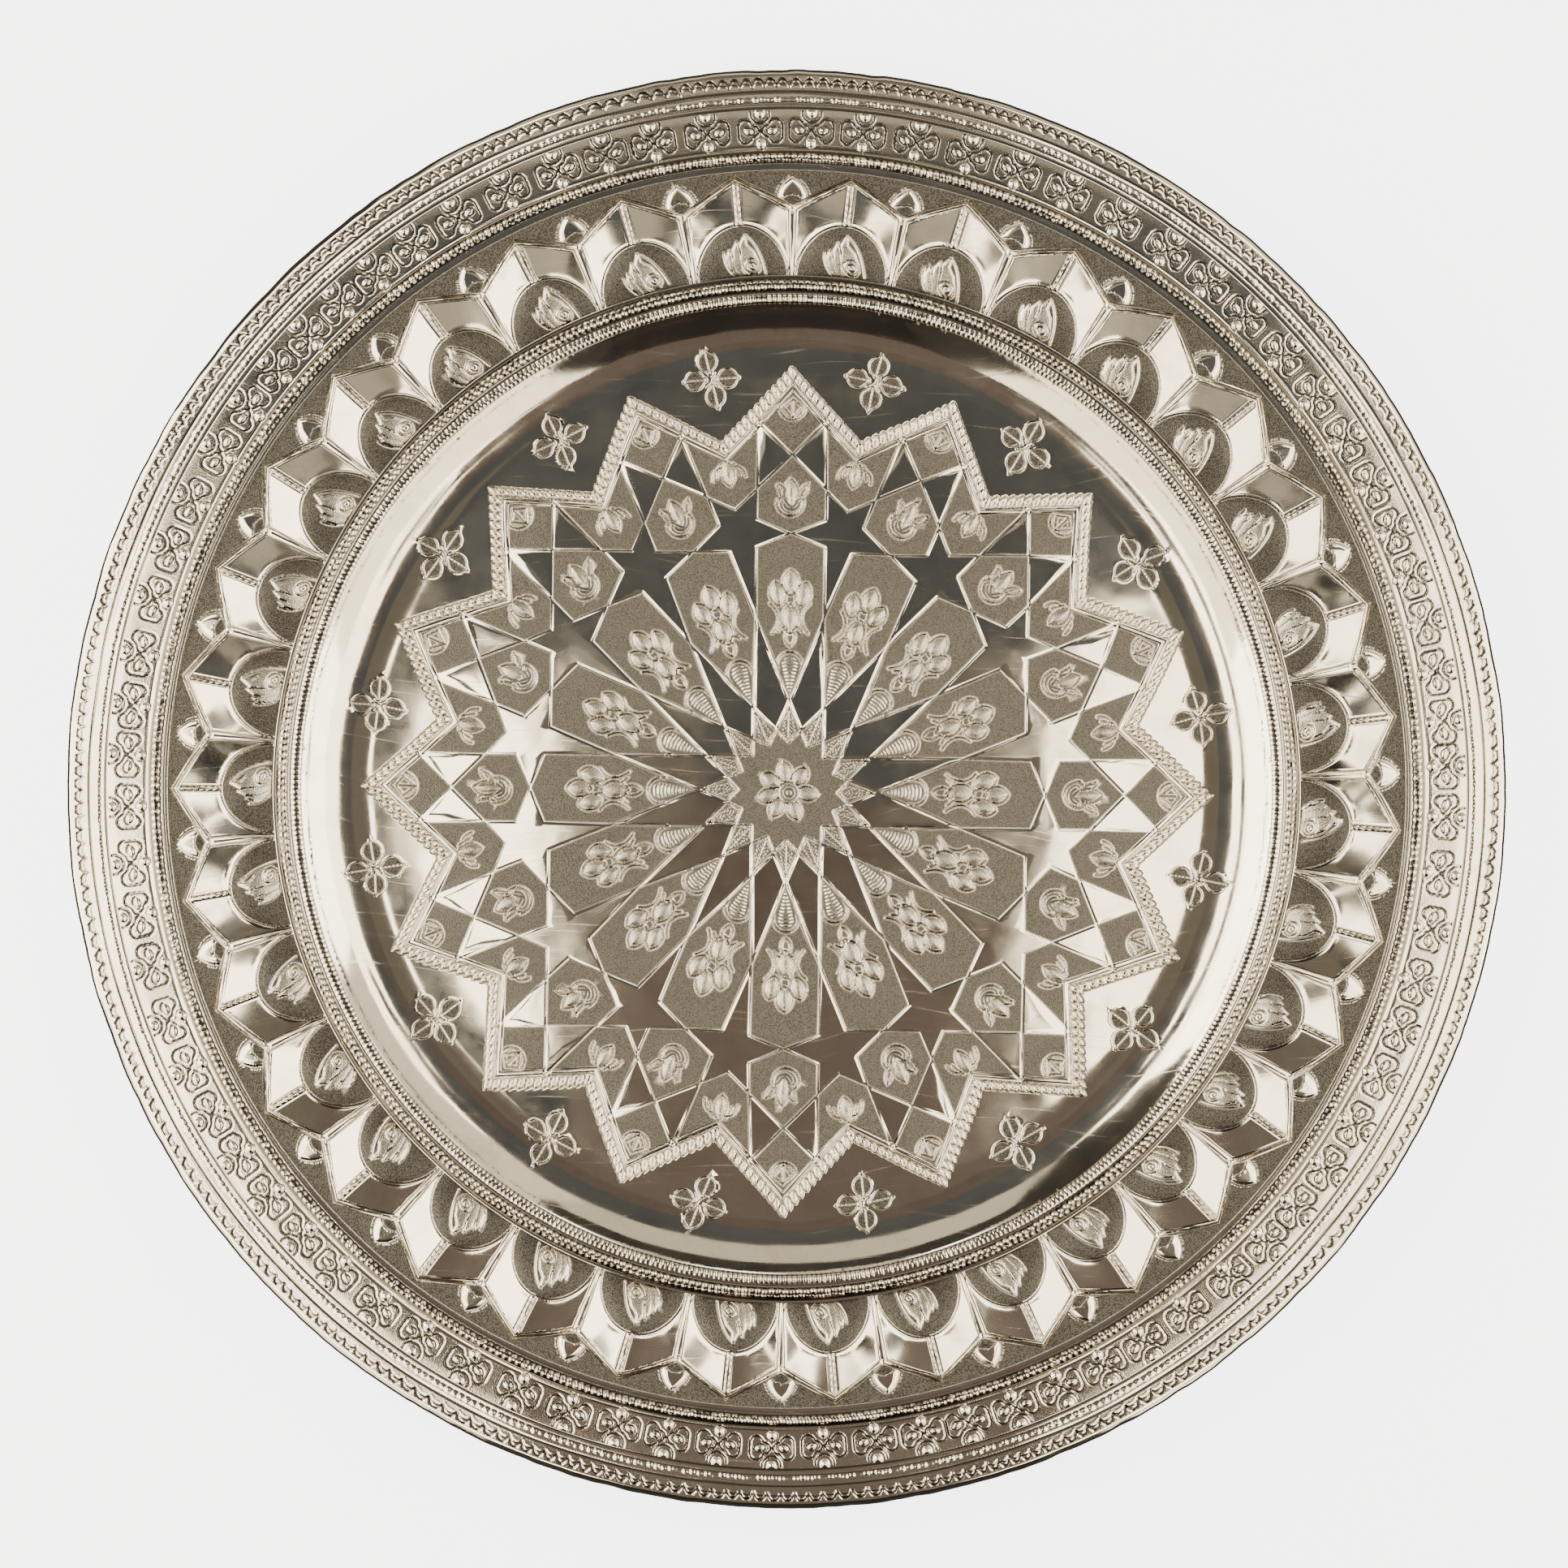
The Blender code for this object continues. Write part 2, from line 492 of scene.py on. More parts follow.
def flower_motif(u, v, rng):
    """One of the four-petal flowers round the star: matt hatched petals in a thin outline."""
    u, v = turn(u, v - FLOWER_MIDDLE, math.radians(rng.uniform(-7, 7)))
    h = np.zeros_like(u)
    matt = np.zeros_like(u)
    line = np.full(u.shape, FAR)
    for quarter in range(4):
        x, y = turn(u, v, quarter * math.pi / 2 + math.radians(rng.uniform(-6, 6)))
        reach = rng.uniform(0.93, 1.06)
        leaf = tapered(x, y, [(0, 2.6, 0.8), (0, 7.2 * reach, 3.9), (0, 12.4 * reach, 0.15)])
        h += dome(leaf, 1.6, 0.25) + groove(np.abs(leaf), 0.9, 0.3)
        vein = np.where(leaf < 0, np.abs(x), FAR)
        h += groove(vein, 0.9, 0.24)
        side_veins = np.abs(((y - 0.9 * np.abs(x)) % 1.6) - 0.8)
        h += groove(np.where(leaf < -0.4, side_veins, FAR), 0.8, 0.14, 0.0)
        line = np.minimum(line, np.minimum(vein, np.abs(leaf)))
        matt = np.maximum(matt, inside(leaf))
    h += groove(polyline(u, v, bend((-2.6, -3.0), (0.5, -0.6), (0.4, 3.2))), 0.8, 0.4)
    h += groove(polyline(u, v, bend((2.8, -3.2), (1.0, -0.4), (2.2, 2.4))), 0.7, 0.3)
    return h, matt * (0.25 + 0.75 * smoothstep(0.2, 0.5, line)) * smoothstep(2.0, 3.0, np.hypot(u, v))


def hub_relief(x, y):
    """The seven-petal rosette and its boss in the middle of the star."""
    h = np.zeros_like(x)
    body = np.zeros_like(x)
    line = np.full(x.shape, FAR)
    for i, nudge in enumerate((0.0, -4.0, 1.0, 13.0, 15.0, 6.0, 2.0)):
        u, v = turn(x, y, math.radians(-9 + i * 360 / 7 + nudge))
        part, solid, edge = seed(u, v, 0, 8.1, 4.5, 2.9, 0, 0.6)
        h += part
        body = np.maximum(body, solid)
        line = np.minimum(line, edge)
    radius = np.hypot(x - 0.7, y + 0.6)
    middle_part = radius < 4.6
    h = np.where(middle_part, dome(radius - 4.3, 3.0, 0.45) + dome(radius - 1.25, 1.0, 0.5), h)
    body = np.where(middle_part, 0, body)
    line = np.where(middle_part, FAR, line)
    line = np.minimum(line, np.minimum(np.abs(radius - 4.6), np.abs(radius - 1.7)))
    cut, shine = chased(line, body)
    return h + cut, shine


def star_relief(x, y, lines=True):
    """Height and matt share over the whole floor and cove, in the star's own frame.

    Without lines, the straight lines and the fields between them are left out.
    """
    angle = np.arctan2(x, y)
    index = np.round(angle / SECTOR).astype(int)
    c, s = np.cos(index * SECTOR), np.sin(index * SECTOR)
    u, v = x * c - y * s, x * s + y * c
    h = np.zeros_like(x)
    straight = np.zeros_like(x)
    ground = np.zeros_like(x)
    radius = np.hypot(x, y)
    if lines:
        for ax, ay, bx, by, width in STAR_LINES:
            away = segment(u, v, ax, ay, bx, by)
            straight = np.minimum(straight, -STAR_CUT * np.clip(1 - away / (width / 2), 0, 1))
        for field in STAR_FIELDS:
            away = convex(u, v, field)
            ground = np.maximum(ground, inside(away))
    border, off, band = border_relief(u, v, lines)
    h += border
    ground *= inside(off, 0.4)
    outside = off > 0.3
    shine = np.zeros_like(x)
    for k in range(-POINTS // 2, POINTS // 2 + 1):
        rng = np.random.default_rng(1000 + k % POINTS)
        here = (index % POINTS == k % POINTS) & (radius < STAR_END)
        if k == -POINTS // 2 or not here.any():
            continue
        uu, vv = u[here], v[here]
        part, bright = petal_motif(uu, vv, rng)
        more, gleam = tulip_motif(uu, vv, rng)
        h[here] += np.where(vv < PETAL_END, part, 0) + np.where(vv > TULIP_START, more, 0)
        tip, glint = tip_motif(uu, vv)
        h[here] += tip + fern_motif(uu, vv)
        bright = np.where(vv < PETAL_END, bright, np.where(vv > TULIP_START, gleam, 0))
        shine[here] = np.maximum(bright, glint)
    matt = band * np.where(radius < 180, 0.7, 0)
    valley = np.floor(angle / SECTOR).astype(int)
    for k in range(POINTS):
        rng = np.random.default_rng(2000 + k)
        here = (valley % POINTS == k) & (radius > 125) & (radius < 195)
        if not here.any():
            continue
        uu, vv = turn(x[here], y[here], (k + 0.5) * SECTOR)
        part, bright = bud_motif(uu, vv)
        more, dull = flower_motif(uu, vv, rng)
        h[here] += np.where(vv < BUD_END, part, more)
        shine[here] = np.maximum(shine[here], np.where(vv < BUD_END, bright, 0))
        matt[here] = np.maximum(matt[here], np.where(vv > BUD_END, dull, 0))
    disc = radius < HUB_RADIUS
    part, bright = hub_relief(x[disc], y[disc])
    h[disc] += part
    shine[disc] = np.maximum(shine[disc], bright)
    ground = np.where(outside, 0, ground)
    worked = np.maximum(shine, smoothstep(0.04, 0.22, np.abs(straight)))
    ground = np.maximum(0.96 * ground * (1 - worked), matt)
    dark_share = patina(h) * smoothstep(0.2, 0.05, -straight)
    return STAR_DEPTH * (h + straight) - 0.1 * ground, ground * (1 - dark_share) - 0.9 * dark_share


# ---- the flutes' relief
def valley_angle(index):
    """Where a valley between two flutes lies. The spacing drifts, as it does when laid out by eye."""
    angle = index * PITCH
    return angle + np.radians(0.675 + 0.6 + 1.9 * np.sin(angle) - 0.7 * np.cos(2 * angle))


def flute_relief(s, r, index):
    """Height and matt share in one flute: s runs from 0 to 1 across it, r is the radius."""
    rng = np.random.default_rng(3000 + index)
    wide = r * PITCH
    p = (s - 0.5) * wide
    c = np.abs(2 * s - 1)
    crest = FLUTE_OUTER - 0.3 + rng.uniform(-0.7, 0.7)
    top = crest - c * (crest - FLUTE_VALLEY)
    chevron = (top - r) * 0.87
    q = r - FLUTE_INNER
    along = np.clip(q / (top - 2.0 - FLUTE_INNER), 0, 1)
    arch = np.hypot(p / ARCH_HALF, (q - 0.6) / ARCH_HEIGHT)
    rise = np.sin(math.pi / 2 * np.clip(q / 17, 0, 1)) ** 0.9
    swell = rise * (1 - 0.24 * along ** 2)
    gable = 1 - 0.62 * c - 0.38 * c * c
    pillow = 1 - c ** 2.2
    soft = smoothstep(0.8, 1.15, arch)
    lift = FLUTE_LIFT * swell * (gable * soft + pillow * (1 - soft))
    lift *= smoothstep(-0.2, 1.9, chevron)
    lift += np.where(arch < 1, 0.9 * np.clip(1 - arch ** 2, 0, 1), 0)
    h = np.zeros_like(p)
    rim = (arch - 1) * 19
    body = chevron > 2.0
    ground = inside(rim, 0.3)
    lip = 0.12 * np.clip(1 - np.abs(rim - 0.8) / 0.6, 0, 1)
    h += np.where(body, groove(np.abs(rim), 1.0, 0.3) + lip, 0)
    from_valley = (1 - c) * wide / 2
    half = 0.55 + np.clip(q / 28, 0, 1) * 0.95
    in_rib = r < FLUTE_VALLEY + 0.5
    rib = 0.75 * np.clip(1 - (from_valley / half) ** 2, 0, 1)
    h += np.where(in_rib, rib + groove(np.abs(from_valley - half - 0.2), 0.75, 0.45), 0)
    ground = np.where(from_valley < half + 0.5, 0, ground)
    strip = (chevron > 0.2) & (chevron < 1.75)
    h += np.where(strip, 0.3, 0)
    h += groove(np.abs(chevron), 1.0, 0.4) + groove(np.abs(chevron - 1.9), 1.0, 0.4)
    turns = np.abs(np.sin(math.pi * (r - 236.4 + 0.35 * p) / 2.75)) ** 0.7
    cord = 0.8 * np.clip(1 - (p / 1.1) ** 2, 0, 1) * turns
    h += np.where((arch > 1.03) & (chevron > 2.4), cord + groove(np.abs(np.abs(p) - 1.35), 0.8, 0.35), 0)
    flame, shine, cut = flame_motif(p + rng.uniform(-2.0, 1.4), q, rng)
    cut = np.maximum(cut, patina(h))
    knots = inside(np.abs(p) - 1.1, 0.4) * smoothstep(0.75, 0.45, turns)
    cut = np.where((arch > 1.05) & (chevron > 2.4), np.maximum(cut, knots), cut)
    ground = ground * (1 - 0.5 * shine)
    spandrel = inside(chevron + 0.2, 0.3) * (r < 258.3)
    ground = np.maximum(ground, spandrel)
    side = np.minimum(s, 1 - s) * wide
    leaf, bright = spandrel_leaf(side, r - rng.uniform(-0.4, 0.4))
    cut = np.maximum(cut, patina(leaf))
    ground = ground * (1 - bright)
    return lift + h + flame + leaf - 0.1 * ground, np.clip(ground, 0, 1) * (1 - cut) - 0.8 * cut


def flame_motif(p, q, rng):
    """The flame of three tongues with a ringed eye that fills the foot of each arch."""
    p, q = turn(p, q, math.radians(rng.uniform(-7, 7)))
    tongues = (
        tapered(p, q, [(-1.6, 1.6, 2.6), (-4.4, 4.6, 2.2), (-6.0, 7.6, 1.3), (-6.2, 10.6, 0.15)]),
        tapered(p, q, [(0.4, 2.4, 3.4), (-2.0, 6.6, 2.8), (-3.4, 10.4, 1.5), (-3.2, 14.0, 0.15)]),
        tapered(p, q, [(2.6, 4.0, 3.8), (1.4, 8.4, 3.0), (-0.6, 12.4, 1.6), (0.4, 17.0, 0.15)]),
    )
    h = np.zeros_like(p)
    cut = np.zeros_like(p)
    body = np.full(np.shape(p), FAR)
    for tongue in tongues:
        tongue = np.where(q < 0.7, np.maximum(tongue, 0.7 - q), tongue)
        h = np.where(tongue < 0, 0.2 + dome(tongue, 1.6, 0.25), h)
        split = inside(np.abs(tongue) - 0.3, 0.4) * np.where(body < FAR, smoothstep(5.0, 9.0, q), 1.0)
        cut = np.where(tongue < -0.4, 0.0, np.maximum(cut, split))
        body = np.minimum(body, tongue)
    x, y = turn(p - 3.0, q - 4.0, math.radians(20))
    eye = (np.hypot(x / 3.5, y / 2.8) - 1) * 3.0
    h = np.where(eye < 0, 0.55 + dome(eye, 1.0, 0.45), h)
    rings = np.minimum(np.abs(eye), np.abs(eye + 1.6))
    h += groove(rings, 1.1, 0.4, 0.0) + groove(np.hypot(x, y), 1.2, 0.4, 0.0)
    cut = np.maximum(cut, inside(np.abs(body) - 0.3, 0.4))
    cut = np.where(eye < 0.5, 0.0, cut)
    cut = np.maximum(cut, inside(rings - 0.3, 0.4) + inside(np.hypot(x, y) - 0.45, 0.4))
    free = (body > 0.4) & (eye > 0.5)
    long = polyline(p, q, bend((0.8, 16.4), (5.6, 10.4), (8.6, 1.2)))
    short = polyline(p, q, bend((-8.4, 9.4), (-7.6, 5.2), (-5.2, 1.4)))
    wisp = np.where(free, np.minimum(long, short), FAR)
    h += groove(wisp, 1.0, 0.34)
    cut = np.clip(np.maximum(cut, inside(wisp - 0.25, 0.4)), 0, 1)
    bright = np.maximum(inside(np.minimum(body, eye)), 0.8 * inside(wisp - 0.7))
    return h, bright, cut


def spandrel_leaf(side, r):
    """The onion-shaped leaf that stands over each valley."""
    t = np.clip((r - LEAF_START) / 10.8, 0, 1)
    width = 5.9 * np.cos(math.pi / 2 * t ** 1.5) ** 0.8
    away = np.where((r > LEAF_START) & (r < 255.6), (side - width) * 0.85, FAR)
    above = np.clip((r - 245.5) / 2, 0, 1)
    h = dome(away, 2.6, 0.85) * above + groove(np.abs(away), 0.8, 0.35)
    second = np.where((r > 246.5) & (r < 256.2), np.abs(side - width * 0.98 - 1.5), FAR)
    h += groove(second, 0.5, 0.18)
    crescent = np.hypot(side, r - 243.0)
    h += groove(np.where(away < 0, np.abs(crescent - 5.0), FAR), 0.6, 0.3)
    h += groove(np.where(away < 0, np.abs(crescent - 4.1), FAR), 0.45, 0.2)
    return h, inside(away) * np.clip((crescent - 4.9) / 0.3, 0, 1)


# ---- relief of the rings
def ring_waves(angle, radius, length, seed):
    return waves(radius * np.sin(angle), radius * np.cos(angle), length, seed)


def spaced(angle, count, radius, drift, length, seed):
    """Position among count marks round a ring, unevenly spaced, and the mark's number."""
    where = angle / (2 * math.pi) * count + drift * ring_waves(angle, radius, length, seed)
    return where, np.floor(where).astype(int) % count


def beads(angle, r, radius, pitch, size, height, seed, group=0, gap=0.0):
    """A row of punched beads. With group set, every so many beads a gap is left out."""
    count = round(2 * math.pi * radius / pitch)
    where, index = spaced(angle, count, radius, 0.25, 90, seed)
    rng = np.random.default_rng(seed)
    strength = rng.uniform(0.65, 1.15, count)
    if group:
        strength = np.where(np.arange(count) % group == 0, 1 - gap, strength)
    drift = rng.normal(0, 0.10, count)
    along = (where - np.floor(where) - 0.5) * pitch
    across = r - radius - drift[index]
    ball = np.hypot(along / (0.42 * pitch), across / size)
    return height * strength[index] * np.clip(1 - ball ** 2, 0, 1) ** 0.5


def rope_ridge(r, radius, half, height):
    """A rounded ridge that runs round the tray."""
    return height * np.clip(1 - ((r - radius) / half) ** 2, 0, 1)


def milled(angle, r, radius, width, depth, pitch, seed):
    """A thin line worked with a toothed punch."""
    count = round(2 * math.pi * radius / pitch)
    teeth = 0.5 + 0.5 * np.cos(angle * count)
    wander = 0.12 * ring_waves(angle, radius, 60, seed)
    return groove(np.abs(r - radius - wander), width, depth) * (0.7 + 0.3 * teeth)


def shoulder_relief(angle, r):
    """The ticked ring at the lip of the cove and the double row of beads beside the flutes, with painted
    shade between the beads and in the gaps between the ticks.
    """
    h = rope_ridge(r, TICKS, 2.4, 0.5)
    where, index = spaced(angle, TICK_COUNT, 205, 0.2, 50, 41)
    strength = np.random.default_rng(42).uniform(0.5, 1.1, TICK_COUNT)[index]
    tick = np.abs(where - np.floor(where) - 0.5) * 2.06
    body = np.clip(1 - np.abs(r - TICKS) / 2.0, 0, 1) ** 0.5
    h += 0.5 * strength * body * np.clip(1 - (tick / 0.62) ** 2, 0, 1)
    h += ring_groove(r, 202.4, 0.8, 0.25) + ring_groove(r, 207.8, 0.9, 0.3)
    h += rope_ridge(r, 210.6, 2.5, 0.7)
    row = beads(angle, r, SHOULDER_ROWS[0], 2.8, 0.95, 0.8, 43, 6, 0.4)
    row += beads(angle, r, SHOULDER_ROWS[1], 2.8, 0.8, 0.6, 44, 6, 0.4)
    h += row + ring_groove(r, 213.7, 0.9, 0.35)
    # Painted shade: the ground between the beads and in the gaps between the ticks is made dark, given as a
    # negative share.
    dark = 0.9 * inside(np.abs(r - 210.9) - 2.5, 0.4) * (1 - smoothstep(0.2, 0.5, row))
    return h, -np.maximum(dark, 0.8 * inside(np.abs(r - TICKS) - 2.3, 0.4) * smoothstep(0.5, 0.8, tick))


def ridge_relief(angle, r):
    """The plain line and the double row of beads outside the flutes, with painted shade between the beads.
    """
    h = rope_ridge(r, 260.5, 1.2, 0.35) + ring_groove(r, 259.4, 0.7, 0.3) + ring_groove(r, 261.5, 0.6, 0.2)
    h += rope_ridge(r, 263.4, 1.9, 0.75)
    row = beads(angle, r, RIDGE_ROWS[0], 2.8, 1.05, 0.85, 51, 9, 0.35)
    row += beads(angle, r, RIDGE_ROWS[1], 2.8, 0.75, 0.55, 52, 9, 0.35)
    h += row + ring_groove(r, 265.6, 0.8, 0.3)
    # Painted shade: the ground between the beads of the double row is made dark, given as a negative share.
    return h, -0.9 * inside(np.abs(r - 263.3) - 2.4, 0.4) * (1 - smoothstep(0.2, 0.5, row))


def heart(x, y, side):
    """A round heart on its side, its point towards the middle of the pair."""
    x = x * side
    lobes = np.minimum(np.hypot(x - 6.4, y - 2.05), np.hypot(x - 6.4, y + 2.05)) - 2.75
    belly = tapered(x, y, [(5.2, 0, 4.0), (2.9, 0, 2.2), (0.7, 0, 0.35)])
    return np.minimum(lobes, belly)


def heart_units():
    """Angles between the pairs of hearts round the rim, spaced as by hand."""
    widths = np.random.default_rng(61).uniform(0.88, 1.14, HEART_PAIRS)
    return np.concatenate([[0], np.cumsum(widths)]) / widths.sum() * 2 * math.pi


HEART_EDGES = heart_units()


def hearts_relief(angle, r):
    """Pairs of hearts with an eye in each, and a ball above and below every pair."""
    index = np.clip(np.searchsorted(HEART_EDGES, angle, side="right") - 1, 0, HEART_PAIRS - 1)
    centre = (HEART_EDGES[index] + HEART_EDGES[index + 1]) / 2
    rng = np.random.default_rng(62)
    nudge_r = rng.uniform(-0.35, 0.35, HEART_PAIRS)[index]
    strength = rng.uniform(0.7, 1.1, HEART_PAIRS)[index]
    x = (angle - centre) * HEART_MIDDLE
    y = r - HEART_MIDDLE - nudge_r
    h = np.zeros_like(r)
    for side in (-1, 1):
        away = heart(x, y, side)
        h += groove(np.abs(away), 1.25, 0.3, 0.15)
        eye = lens(x, y, side * 5.0, 0, 2.5, 1.5, 90 - 12 * side)
        h += groove(np.abs(eye), 1.0, 0.24, 0.1) + roof(eye + 0.3, 1.1, 0.6)
    h *= strength
    ball = np.hypot(x, y + 5.3)
    outer = np.hypot(x, y - 7.2)
    arch = np.where(y < 8.2, np.abs(outer - 3.9), FAR)
    h = np.where(outer < 4.3, 0, h)
    h += groove(arch, 1.2, 0.32)
    h += dome(ball - 1.9, 1.7, 1.15) + groove(np.abs(ball - 2.15), 0.6, 0.2)
    h += dome(outer - 1.8, 1.6, 1.1)
    h += milled(angle, r, 267.6, 0.9, 0.3, 1.3, 63)
    return h, 0.10 + 0 * r


def scallop_relief(angle, r):
    """The dashed row of beads between two milled lines, and the double scalloped chain."""
    h = milled(angle, r, 283.6, 0.9, 0.3, 1.3, 71) + milled(angle, r, 290.2, 1.1, 0.32, 1.3, 72)
    h += beads(angle, r, DASHES, 3.0, 0.75, 0.45, 73, 5, 0.7)
    h += ring_groove(r, 285.9, 0.55, 0.14) + ring_groove(r, 287.9, 0.5, 0.12)
    where, index = spaced(angle, SCALLOP_GROUPS, 293, 0.22, 120, 74)
    part = where - np.floor(where)
    nudge, strength, lean = [np.random.default_rng(seed).uniform(low, high, SCALLOP_GROUPS)[index]
                             for seed, low, high in ((75, -0.35, 0.35), (76, 0.7, 1.15), (77, -0.8, 0.8))]
    bulge = np.abs(np.sin(3 * math.pi * part)) ** 0.65
    tilt = (part - 0.5) * lean
    low = SCALLOPS + 1.6 * bulge + nudge + tilt
    high = low + 0.1 + 1.6 * bulge
    h += strength * (groove(np.abs(r - low) * 0.75, 1.0, 0.3) + groove(np.abs(r - high) * 0.7, 1.3, 0.42))
    return h, 0.05 + 0 * r


# ---- meshes
def mesh_object(name, points, faces, ground):
    """A smooth mesh from points in millimetres, with the matt share kept at each point."""
    mesh = bpy.data.meshes.new(name)
    count, corners = faces.shape
    mesh.vertices.add(len(points))
    mesh.vertices.foreach_set("co", (points * MM).astype(np.float32).ravel())
    mesh.loops.add(count * corners)
    mesh.loops.foreach_set("vertex_index", faces.astype(np.int32).ravel())
    mesh.polygons.add(count)
    mesh.polygons.foreach_set("loop_start", np.arange(0, count * corners, corners, dtype=np.int32))
    mesh.polygons.foreach_set("loop_total", np.full(count, corners, dtype=np.int32))
    mesh.update(calc_edges=True)
    mesh.validate()
    share = mesh.attributes.new("ground", "FLOAT", "POINT")
    share.data.foreach_set("value", ground.astype(np.float32).ravel())
    mesh.shade_smooth()
    obj = bpy.data.objects.new(name, mesh)
    bpy.context.scene.collection.objects.link(obj)
    return obj


def dress(obj, material):
    """Finish, slot and body of a piece of the sheet."""
    obj.data.materials.append(material)
    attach(obj, "root")
    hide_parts("tray_sheet")


def lay_out(angle, r, relief, under):
    """Points in space from angle, radius and relief height, on the top or the underside."""
    x, y = r * np.sin(angle), r * np.cos(angle)
    uneven = 0.10 * waves(x, y, 85, 5) + 0.03 * waves(x, y, 34, 6)
    uneven = uneven * smoothstep(20, 60, r) * smoothstep(300, 285, r)
    if under:
        z = middle(r) - half_sheet(r) + 0.75 * relief
        z = np.maximum(z, 0.03) + np.where(r > 190, uneven, 0)
    else:
        z = middle(r) + half_sheet(r) + relief + uneven
    return np.stack([x, y, z], axis=-1)


def ring_piece(relief, start, end, step, across, under=False):
    """A full ring of quads with the relief of a function of angle and radius."""
    rows = max(2, round((end - start) / across) + 1)
    columns = round(2 * math.pi * end / step)
    angle = np.arange(columns) / columns * 2 * math.pi
    radius = np.linspace(start, end, rows)
    a, r = np.meshgrid(angle, radius)
    h, ground = relief(a, r)
    ground = ground * (1 - patina(h)) - patina(h)
    fade = smoothstep(start, start + 0.5, r) * smoothstep(end, end - 0.5, r)
    points = lay_out(a, r, h * fade, under)
    i, j = np.meshgrid(np.arange(rows - 1), np.arange(columns), indexing="ij")
    k = (j + 1) % columns
    faces = np.stack([i * columns + j, (i + 1) * columns + j, (i + 1) * columns + k, i * columns + k], -1)
    faces = faces.reshape(-1, 4)
    if not under:
        faces = faces[:, ::-1]
    return points.reshape(-1, 3), faces, ground.ravel()


def rough_points(relief, u, v, fine, coarse, limit):
    """Which points of a square grid matter: where the relief bends, or one in every few elsewhere."""
    h, ground = relief(u.ravel(), v.ravel())
    h, ground = h.reshape(u.shape), ground.reshape(u.shape)
    bent = np.zeros_like(h)
    for f, scale in ((h, 1.0), (ground, 0.05)):
        for axis in (0, 1):
            d = np.abs(np.roll(f, 1, axis) + np.roll(f, -1, axis) - 2 * f) * scale
            bent = np.maximum(bent, d)
    keep = bent > limit
    for axis in (0, 1):
        keep = keep | np.roll(keep, 1, axis) | np.roll(keep, -1, axis)
    row, column = np.indices(u.shape)
    stride = max(1, round(coarse / fine))
    return keep | ((row % stride == 0) & (column % stride == 0))


def clip_to(line, walls):
    """The part of a straight line that lies inside all walls, each (nx, ny, d): nx x + ny y <= d."""
    ax, ay, bx, by = line
    low, high = 0.0, 1.0
    for nx, ny, d in walls:
        start = nx * ax + ny * ay - d
        end = nx * bx + ny * by - d
        if start > 0 and end > 0:
            return None
        if start > 0:
            low = max(low, start / (start - end))
        elif end > 0:
            high = min(high, start / (start - end))
    if high - low < 1e-6:
        return None
    return (ax + low * (bx - ax), ay + low * (by - ay), ax + high * (bx - ax), ay + high * (by - ay))


def plan_area(points, faces):
    """Twice the area of each face's first three corners, seen from above and positive anticlockwise."""
    a, b, c = points[faces[:, 0]], points[faces[:, 1]], points[faces[:, 2]]
    return (b[:, 0] - a[:, 0]) * (c[:, 1] - a[:, 1]) - (b[:, 1] - a[:, 1]) * (c[:, 0] - a[:, 0])


def face_up(points, faces, under):
    """Turn every face so that it looks up, or down on the underside."""
    area = plan_area(points, faces)
    wrong = area > 0 if under else area < 0
    return np.where(wrong[:, None], faces[:, ::-1], faces)


def triangulate(outline, lines, points, clear):
    """Triangles over a convex outline that keep to the given lines."""
    verts = [Vector(p) for p in outline]
    edges = [(i, (i + 1) % len(outline)) for i in range(len(outline))]
    free = np.ones(len(points), bool)
    px, py = points[:, 0], points[:, 1]
    for ax, ay, bx, by in lines:
        if math.hypot(bx - ax, by - ay) < 1e-3:
            continue
        free &= segment(px, py, ax, ay, bx, by) > clear
        edges.append((len(verts), len(verts) + 1))
        verts += [Vector((ax, ay)), Vector((bx, by))]
    verts += [Vector(p) for p in points[free]]
    made = delaunay_2d_cdt(verts, edges, [], 0, 1e-4)
    flat = np.array([tuple(p) for p in made[0]])
    faces = np.array([f for f in made[2] if len(f) == 3])
    a, b, c = flat[faces[:, 0]], flat[faces[:, 1]], flat[faces[:, 2]]
    longest = np.max([np.linalg.norm(side, axis=1) for side in (b - a, c - b, a - c)], axis=0)
    flatness = np.abs(plan_area(flat, faces)) / longest
    return flat, face_up(flat, faces, False)[flatness > SLIVER]


